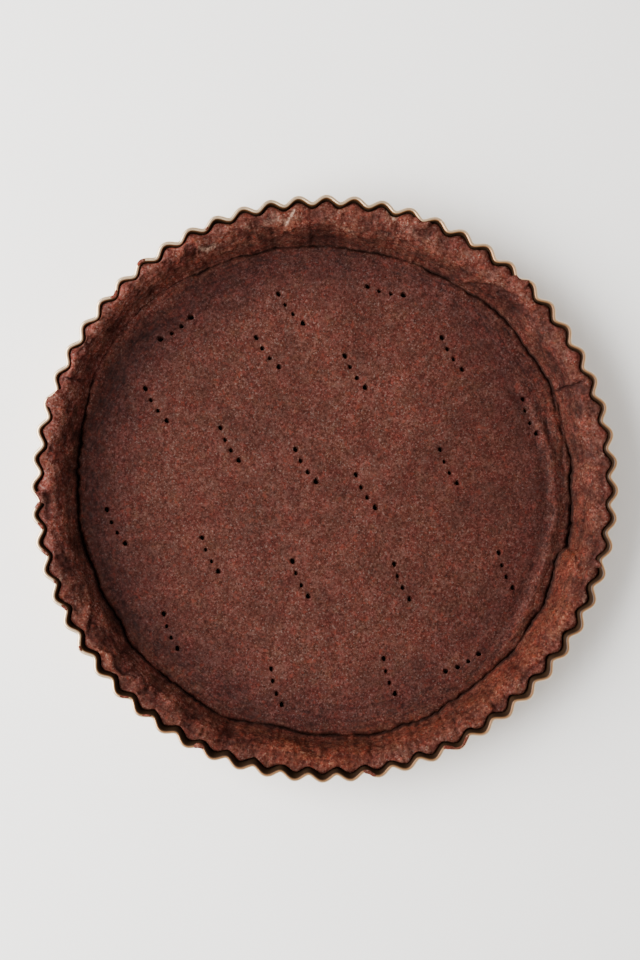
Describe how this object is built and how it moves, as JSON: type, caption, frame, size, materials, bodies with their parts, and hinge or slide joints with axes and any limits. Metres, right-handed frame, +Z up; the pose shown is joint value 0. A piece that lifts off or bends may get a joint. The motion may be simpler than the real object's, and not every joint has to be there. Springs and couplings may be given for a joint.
{
  "type": "tart pan",
  "caption": "Round fluted tart pan with a loose base that pushes up through its ring, holding a baked dark pastry case pricked with a fork.",
  "frame": {"origin": "centre of the ring's foot, on the surface that the pan stands on", "axes": "+Z up through the middle of the pan, +Y and +X through flute crests, with +Y towards the top of a view from above"},
  "size_m": [0.25, 0.25, 0.025],
  "materials": {
    "champagne_metal": "satin",
    "dark_pastry": "matte"
  },
  "bodies": {
    "ring": {"fluted_ring": "champagne_metal"},
    "base": {"loose_base": "champagne_metal"},
    "case": {"pastry_case": "dark_pastry"}
  },
  "joints": [
    {"name": "base_push_up", "type": "slide", "parent": "ring", "child": "base", "axis": [0, 0, 1], "range_m": [0, 0.05]},
    {"name": "case_lift_off", "type": "slide", "parent": "base", "child": "case", "axis": [0, 0, 1], "range_m": [0, 0.04]}
  ]
}
